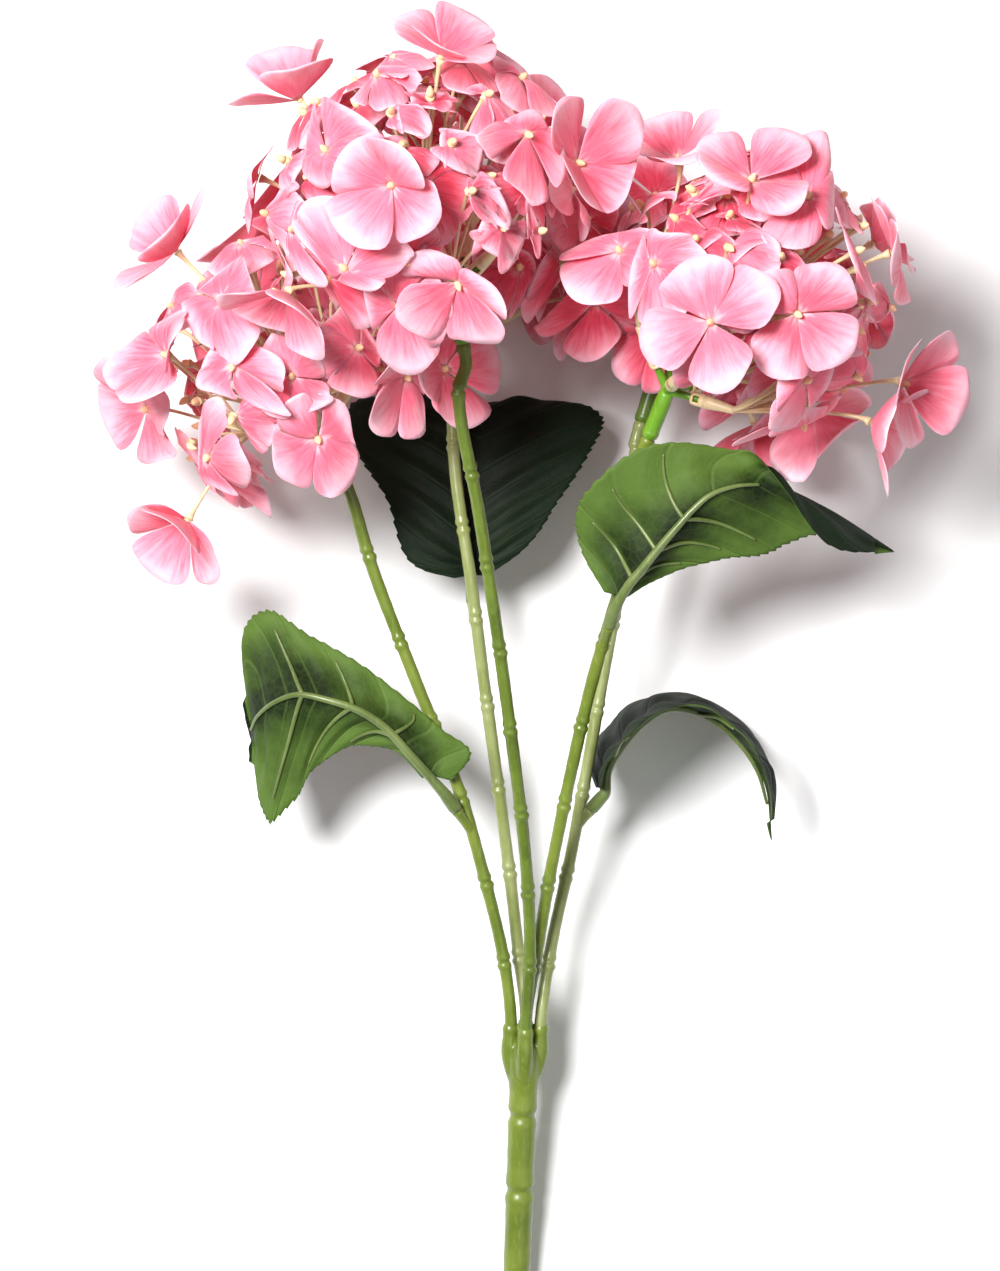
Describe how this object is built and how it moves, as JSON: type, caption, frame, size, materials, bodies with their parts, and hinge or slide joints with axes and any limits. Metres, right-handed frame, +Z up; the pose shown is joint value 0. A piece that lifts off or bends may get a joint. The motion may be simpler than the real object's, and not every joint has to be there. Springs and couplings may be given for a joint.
{
  "type": "artificial cut hydrangea bunch",
  "caption": "Artificial cut hydrangea bunch lying down: forked plastic stem, domed heads of pink four-petal florets, and ribbed green leaves.",
  "frame": {"origin": "middle of the bounding box at the floor the bunch lies on", "axes": "+Y from the cut end of the stem towards the flower heads, +Z up, away from the floor"},
  "size_m": [0.3074, 0.501, 0.2137],
  "materials": {
    "stem_green": "satin moulded plastic",
    "stem_pale": "satin moulded plastic",
    "hub_green": "satin moulded plastic",
    "petals": "soft coated cloth, pale rim and deeper pink centre, on cream plastic twigs",
    "leaf": "printed cloth, dark above and lighter below",
    "leaf_rib": "satin moulded plastic"
  },
  "bodies": {
    "root": {"trunk": "stem_green", "branch_front": "stem_green", "hub_front": "hub_green", "spray_front_1": "petals", "spray_front_2": "petals", "spray_front_3": "petals", "spray_front_4": "petals", "spray_front_5": "petals", "spray_front_6": "petals", "branch_left": "stem_green", "hub_left": "hub_green", "spray_left_1": "petals", "spray_left_2": "petals", "spray_left_3": "petals", "spray_left_4": "petals", "spray_left_5": "petals", "spray_left_6": "petals", "branch_right": "stem_green", "hub_right": "hub_green", "spray_right_1": "petals", "spray_right_2": "petals", "spray_right_3": "petals", "spray_right_4": "petals", "spray_right_5": "petals", "spray_right_6": "petals", "branch_back": "stem_pale", "hub_back": "hub_green", "spray_back_1": "petals", "spray_back_2": "petals", "spray_back_3": "petals", "spray_back_4": "petals", "spray_back_5": "petals", "spray_back_6": "petals", "branch_low": "stem_pale", "hub_low": "hub_green", "spray_low_1": "petals", "spray_low_2": "petals", "spray_low_3": "petals", "spray_low_4": "petals", "spray_low_5": "petals", "spray_low_6": "petals", "leaf_left": "leaf", "rib_left": "leaf_rib", "leaf_right": "leaf", "rib_right": "leaf_rib", "leaf_back": "leaf", "rib_back": "leaf_rib", "leaf_low": "leaf", "rib_low": "leaf_rib"}
  },
  "joints": []
}
